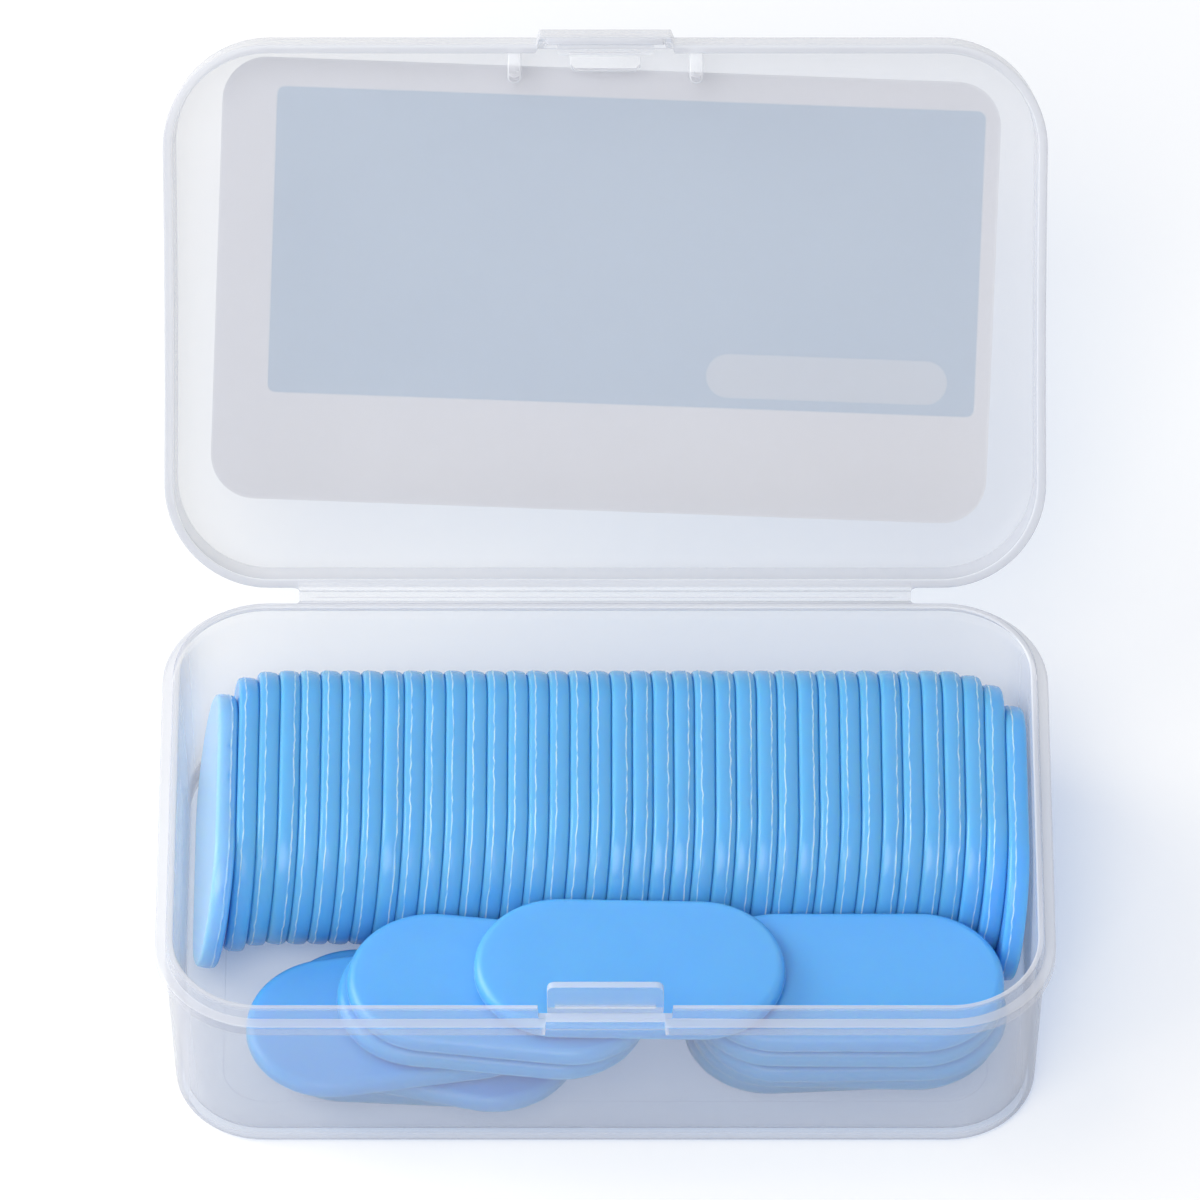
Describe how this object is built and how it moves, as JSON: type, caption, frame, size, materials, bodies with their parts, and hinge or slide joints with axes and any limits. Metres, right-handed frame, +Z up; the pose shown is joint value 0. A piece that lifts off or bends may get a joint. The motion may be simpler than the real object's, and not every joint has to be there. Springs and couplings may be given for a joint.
{
  "type": "hinged box of wax base plates",
  "caption": "Frosted polypropylene box with a living-hinge lid and snap clasp, holding a row of blue wax base plates on edge with more lying flat in front.",
  "frame": {"origin": "middle of the tray's flat underside", "axes": "+X along the box to the right as seen from the clasp, +Y to the back where the lid is hinged, +Z up"},
  "size_m": [0.1282, 0.142, 0.0927],
  "materials": {
    "frosted_polypropylene": "frosted, translucent",
    "blue_plate_wax": "smooth wax",
    "label_paper": "matt label stock"
  },
  "bodies": {
    "tray": {"tray": "frosted_polypropylene", "living_hinge": "frosted_polypropylene", "loose_plate_left_1": "blue_plate_wax", "loose_plate_left_2": "blue_plate_wax", "loose_plate_left_3": "blue_plate_wax", "loose_plate_left_4": "blue_plate_wax", "loose_plate_left_5": "blue_plate_wax", "loose_plate_right_1": "blue_plate_wax", "loose_plate_right_2": "blue_plate_wax", "loose_plate_right_3": "blue_plate_wax", "loose_plate_right_4": "blue_plate_wax", "loose_plate_right_5": "blue_plate_wax"},
    "lid": {"lid": "frosted_polypropylene", "lid_label": "label_paper"},
    "clasp_tongue": {"clasp_tongue": "frosted_polypropylene"},
    "wax_plate_01": {"wax_plate_01": "blue_plate_wax"},
    "wax_plate_02": {"wax_plate_02": "blue_plate_wax"},
    "wax_plate_03": {"wax_plate_03": "blue_plate_wax"},
    "wax_plate_04": {"wax_plate_04": "blue_plate_wax"},
    "wax_plate_05": {"wax_plate_05": "blue_plate_wax"},
    "wax_plate_06": {"wax_plate_06": "blue_plate_wax"},
    "wax_plate_07": {"wax_plate_07": "blue_plate_wax"},
    "wax_plate_08": {"wax_plate_08": "blue_plate_wax"},
    "wax_plate_09": {"wax_plate_09": "blue_plate_wax"},
    "wax_plate_10": {"wax_plate_10": "blue_plate_wax"},
    "wax_plate_11": {"wax_plate_11": "blue_plate_wax"},
    "wax_plate_12": {"wax_plate_12": "blue_plate_wax"},
    "wax_plate_13": {"wax_plate_13": "blue_plate_wax"},
    "wax_plate_14": {"wax_plate_14": "blue_plate_wax"},
    "wax_plate_15": {"wax_plate_15": "blue_plate_wax"},
    "wax_plate_16": {"wax_plate_16": "blue_plate_wax"},
    "wax_plate_17": {"wax_plate_17": "blue_plate_wax"},
    "wax_plate_18": {"wax_plate_18": "blue_plate_wax"},
    "wax_plate_19": {"wax_plate_19": "blue_plate_wax"},
    "wax_plate_20": {"wax_plate_20": "blue_plate_wax"},
    "wax_plate_21": {"wax_plate_21": "blue_plate_wax"},
    "wax_plate_22": {"wax_plate_22": "blue_plate_wax"},
    "wax_plate_23": {"wax_plate_23": "blue_plate_wax"},
    "wax_plate_24": {"wax_plate_24": "blue_plate_wax"},
    "wax_plate_25": {"wax_plate_25": "blue_plate_wax"},
    "wax_plate_26": {"wax_plate_26": "blue_plate_wax"},
    "wax_plate_27": {"wax_plate_27": "blue_plate_wax"},
    "wax_plate_28": {"wax_plate_28": "blue_plate_wax"},
    "wax_plate_29": {"wax_plate_29": "blue_plate_wax"},
    "wax_plate_30": {"wax_plate_30": "blue_plate_wax"},
    "wax_plate_31": {"wax_plate_31": "blue_plate_wax"},
    "wax_plate_32": {"wax_plate_32": "blue_plate_wax"},
    "wax_plate_33": {"wax_plate_33": "blue_plate_wax"},
    "wax_plate_34": {"wax_plate_34": "blue_plate_wax"},
    "wax_plate_35": {"wax_plate_35": "blue_plate_wax"},
    "wax_plate_36": {"wax_plate_36": "blue_plate_wax"},
    "wax_plate_37": {"wax_plate_37": "blue_plate_wax"},
    "wax_plate_38": {"wax_plate_38": "blue_plate_wax"},
    "wax_plate_39": {"wax_plate_39": "blue_plate_wax"},
    "loose_plate_top": {"loose_plate_top": "blue_plate_wax"}
  },
  "joints": [
    {"name": "lid_hinge", "type": "hinge", "parent": "tray", "child": "lid", "pos_m": [0, 0.04095, 0.02935], "axis": [-1, 0, 0], "range_deg": [-130.5, 49.5]},
    {"name": "clasp_flex", "type": "hinge", "parent": "tray", "child": "clasp_tongue", "pos_m": [0, -0.03687, 0.0295], "axis": [-1, 0, 0], "range_deg": [0, 8], "stiffness_Nm_per_rad": 0.2},
    {"name": "lift_plate_01", "type": "slide", "parent": "tray", "child": "wax_plate_01", "axis": [0.1132, 0, 0.9936], "range_m": [0, 0.032]},
    {"name": "lift_plate_02", "type": "slide", "parent": "tray", "child": "wax_plate_02", "axis": [0.1132, 0, 0.9936], "range_m": [0, 0.032]},
    {"name": "lift_plate_03", "type": "slide", "parent": "tray", "child": "wax_plate_03", "axis": [0.1132, 0, 0.9936], "range_m": [0, 0.032]},
    {"name": "lift_plate_04", "type": "slide", "parent": "tray", "child": "wax_plate_04", "axis": [0.1132, 0, 0.9936], "range_m": [0, 0.032]},
    {"name": "lift_plate_05", "type": "slide", "parent": "tray", "child": "wax_plate_05", "axis": [0.1132, 0, 0.9936], "range_m": [0, 0.032]},
    {"name": "lift_plate_06", "type": "slide", "parent": "tray", "child": "wax_plate_06", "axis": [0.1132, 0, 0.9936], "range_m": [0, 0.032]},
    {"name": "lift_plate_07", "type": "slide", "parent": "tray", "child": "wax_plate_07", "axis": [0.1132, 0, 0.9936], "range_m": [0, 0.032]},
    {"name": "lift_plate_08", "type": "slide", "parent": "tray", "child": "wax_plate_08", "axis": [0.1132, 0, 0.9936], "range_m": [0, 0.032]},
    {"name": "lift_plate_09", "type": "slide", "parent": "tray", "child": "wax_plate_09", "axis": [0.1132, 0, 0.9936], "range_m": [0, 0.032]},
    {"name": "lift_plate_10", "type": "slide", "parent": "tray", "child": "wax_plate_10", "axis": [0.1132, 0, 0.9936], "range_m": [0, 0.032]},
    {"name": "lift_plate_11", "type": "slide", "parent": "tray", "child": "wax_plate_11", "axis": [0.1132, 0, 0.9936], "range_m": [0, 0.032]},
    {"name": "lift_plate_12", "type": "slide", "parent": "tray", "child": "wax_plate_12", "axis": [0.1132, 0, 0.9936], "range_m": [0, 0.032]},
    {"name": "lift_plate_13", "type": "slide", "parent": "tray", "child": "wax_plate_13", "axis": [0.1132, 0, 0.9936], "range_m": [0, 0.032]},
    {"name": "lift_plate_14", "type": "slide", "parent": "tray", "child": "wax_plate_14", "axis": [0.1132, 0, 0.9936], "range_m": [0, 0.032]},
    {"name": "lift_plate_15", "type": "slide", "parent": "tray", "child": "wax_plate_15", "axis": [0.1132, 0, 0.9936], "range_m": [0, 0.032]},
    {"name": "lift_plate_16", "type": "slide", "parent": "tray", "child": "wax_plate_16", "axis": [0.1132, 0, 0.9936], "range_m": [0, 0.032]},
    {"name": "lift_plate_17", "type": "slide", "parent": "tray", "child": "wax_plate_17", "axis": [0.1132, 0, 0.9936], "range_m": [0, 0.032]},
    {"name": "lift_plate_18", "type": "slide", "parent": "tray", "child": "wax_plate_18", "axis": [0.1132, 0, 0.9936], "range_m": [0, 0.032]},
    {"name": "lift_plate_19", "type": "slide", "parent": "tray", "child": "wax_plate_19", "axis": [0.1132, 0, 0.9936], "range_m": [0, 0.032]},
    {"name": "lift_plate_20", "type": "slide", "parent": "tray", "child": "wax_plate_20", "axis": [0.1132, 0, 0.9936], "range_m": [0, 0.032]},
    {"name": "lift_plate_21", "type": "slide", "parent": "tray", "child": "wax_plate_21", "axis": [0.1132, 0, 0.9936], "range_m": [0, 0.032]},
    {"name": "lift_plate_22", "type": "slide", "parent": "tray", "child": "wax_plate_22", "axis": [0.1132, 0, 0.9936], "range_m": [0, 0.032]},
    {"name": "lift_plate_23", "type": "slide", "parent": "tray", "child": "wax_plate_23", "axis": [0.1132, 0, 0.9936], "range_m": [0, 0.032]},
    {"name": "lift_plate_24", "type": "slide", "parent": "tray", "child": "wax_plate_24", "axis": [0.1132, 0, 0.9936], "range_m": [0, 0.032]},
    {"name": "lift_plate_25", "type": "slide", "parent": "tray", "child": "wax_plate_25", "axis": [0.1132, 0, 0.9936], "range_m": [0, 0.032]},
    {"name": "lift_plate_26", "type": "slide", "parent": "tray", "child": "wax_plate_26", "axis": [0.1132, 0, 0.9936], "range_m": [0, 0.032]},
    {"name": "lift_plate_27", "type": "slide", "parent": "tray", "child": "wax_plate_27", "axis": [0.1132, 0, 0.9936], "range_m": [0, 0.032]},
    {"name": "lift_plate_28", "type": "slide", "parent": "tray", "child": "wax_plate_28", "axis": [0.1132, 0, 0.9936], "range_m": [0, 0.032]},
    {"name": "lift_plate_29", "type": "slide", "parent": "tray", "child": "wax_plate_29", "axis": [0.1132, 0, 0.9936], "range_m": [0, 0.032]},
    {"name": "lift_plate_30", "type": "slide", "parent": "tray", "child": "wax_plate_30", "axis": [0.1132, 0, 0.9936], "range_m": [0, 0.032]},
    {"name": "lift_plate_31", "type": "slide", "parent": "tray", "child": "wax_plate_31", "axis": [0.1132, 0, 0.9936], "range_m": [0, 0.032]},
    {"name": "lift_plate_32", "type": "slide", "parent": "tray", "child": "wax_plate_32", "axis": [0.1132, 0, 0.9936], "range_m": [0, 0.032]},
    {"name": "lift_plate_33", "type": "slide", "parent": "tray", "child": "wax_plate_33", "axis": [0.1132, 0, 0.9936], "range_m": [0, 0.032]},
    {"name": "lift_plate_34", "type": "slide", "parent": "tray", "child": "wax_plate_34", "axis": [0.1132, 0, 0.9936], "range_m": [0, 0.032]},
    {"name": "lift_plate_35", "type": "slide", "parent": "tray", "child": "wax_plate_35", "axis": [0.1132, 0, 0.9936], "range_m": [0, 0.032]},
    {"name": "lift_plate_36", "type": "slide", "parent": "tray", "child": "wax_plate_36", "axis": [0.1132, 0, 0.9936], "range_m": [0, 0.032]},
    {"name": "lift_plate_37", "type": "slide", "parent": "tray", "child": "wax_plate_37", "axis": [0.1132, 0, 0.9936], "range_m": [0, 0.032]},
    {"name": "lift_plate_38", "type": "slide", "parent": "tray", "child": "wax_plate_38", "axis": [0.1115, -0.1736, 0.9785], "range_m": [0, 0.032]},
    {"name": "lift_plate_39", "type": "slide", "parent": "tray", "child": "wax_plate_39", "axis": [0.1064, -0.342, 0.9337], "range_m": [0, 0.033]},
    {"name": "lift_plate_top", "type": "slide", "parent": "tray", "child": "loose_plate_top", "axis": [0, 0, 1], "range_m": [0, 0.018]}
  ]
}
